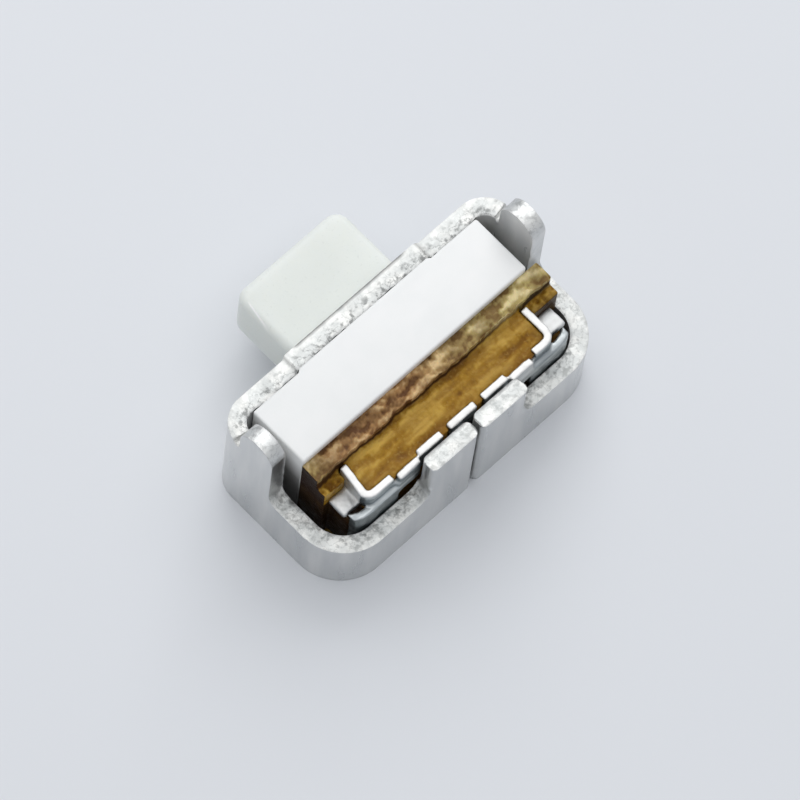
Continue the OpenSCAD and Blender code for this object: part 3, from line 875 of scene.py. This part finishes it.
band = make_object(shape, "steel_band", steel_finish())
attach(band, "housing")
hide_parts("frame")

# ---- Floor, light and camera ----------------------------------------------------------------
# A plain pale floor, a broad soft lamp overhead and a smaller one from the button's side.
# The camera looks down on the open side of the frame, from behind its +X end.
floor_half = 250                 # half the floor's width
part_middle = Vector((0.0, 0.0, 0.0008))


def floor_finish():
    """Matt pale card, faintly clouded."""
    material, shader = new_finish("pale_floor", Roughness=0.7, Specular_IOR_Level=0.2)
    clouds = add_grain(material, 0.05, detail=2.0)
    colour = add_mix(material, clouds.outputs["Mask"], (0.74, 0.76, 0.79), (0.76, 0.78, 0.81))
    material.node_tree.links.new(colour, shader.inputs["Base Color"])
    return material


shape = bmesh.new()
bmesh.ops.create_grid(shape, x_segments=1, y_segments=1, size=floor_half)
floor = make_object(shape, "floor", floor_finish())


def soft_lamp(name, place, size, power):
    """A round area lamp that points at the middle of the part."""
    data = bpy.data.lights.new(name, "AREA")
    data.shape = "DISK"
    data.size = size
    data.energy = power
    lamp = bpy.data.objects.new(name, data)
    lamp.location = place
    lamp.rotation_euler = (part_middle - lamp.location).to_track_quat("-Z", "Y").to_euler()
    bpy.context.scene.collection.objects.link(lamp)


soft_lamp("overhead", (-0.010, -0.012, 0.090), 0.140, 0.045)
soft_lamp("key", (-0.050, -0.050, 0.060), 0.080, 0.028)

world = bpy.data.worlds.new("studio")
bpy.context.scene.world = world
world.use_nodes = True
world_nodes, world_links = world.node_tree.nodes, world.node_tree.links
surround = world_nodes["Background"]
surround.inputs["Color"].default_value = (0.86, 0.88, 0.92, 1.0)
surround.inputs["Strength"].default_value = 0.49
backdrop = world_nodes.new("ShaderNodeBackground")
backdrop.inputs["Color"].default_value = (0.90, 0.92, 0.95, 1.0)
backdrop.inputs["Strength"].default_value = 0.8
# the camera, and metal and glass too, see the pale backdrop
ray = world_nodes.new("ShaderNodeLightPath")
seen = ray.outputs["Is Camera Ray"]
for kind in ("Is Glossy Ray", "Is Transmission Ray"):
    join = world_nodes.new("ShaderNodeMath")
    join.operation = "MAXIMUM"
    world_links.new(seen, join.inputs[0])
    world_links.new(ray.outputs[kind], join.inputs[1])
    seen = join.outputs[0]
either = world_nodes.new("ShaderNodeMixShader")
world_links.new(seen, either.inputs["Fac"])
world_links.new(surround.outputs[0], either.inputs[1])
world_links.new(backdrop.outputs[0], either.inputs[2])
world_links.new(either.outputs[0], world_nodes["World Output"].inputs["Surface"])

azimuth = math.radians(127.73)
elevation = math.radians(67.94)
roll = math.radians(9.0)
distance = 0.08483
# place in the base that the camera points at
look_at = Vector((0.17, 0.989 + FRONT_Y, 0.824)) * MM
to_camera = Vector((math.sin(azimuth) * math.cos(elevation), -math.cos(azimuth) * math.cos(elevation),
                    math.sin(elevation)))
level = Vector((math.cos(azimuth), math.sin(azimuth), 0.0))
upright = to_camera.cross(level)
across = math.cos(roll) * level + math.sin(roll) * upright
upward = -math.sin(roll) * level + math.cos(roll) * upright
lens_data = bpy.data.cameras.new("view")
lens_data.sensor_width = 36.0
lens_data.lens = 360.0
lens_data.clip_start = 0.001
lens_data.clip_end = 10.0
view = bpy.data.objects.new("view", lens_data)
view.matrix_world = Matrix((across, upward, to_camera)).transposed().to_4x4()
view.location = look_at + to_camera * distance
bpy.context.scene.collection.objects.link(view)
bpy.context.scene.camera = view

bpy.context.scene.view_settings.view_transform = "Standard"
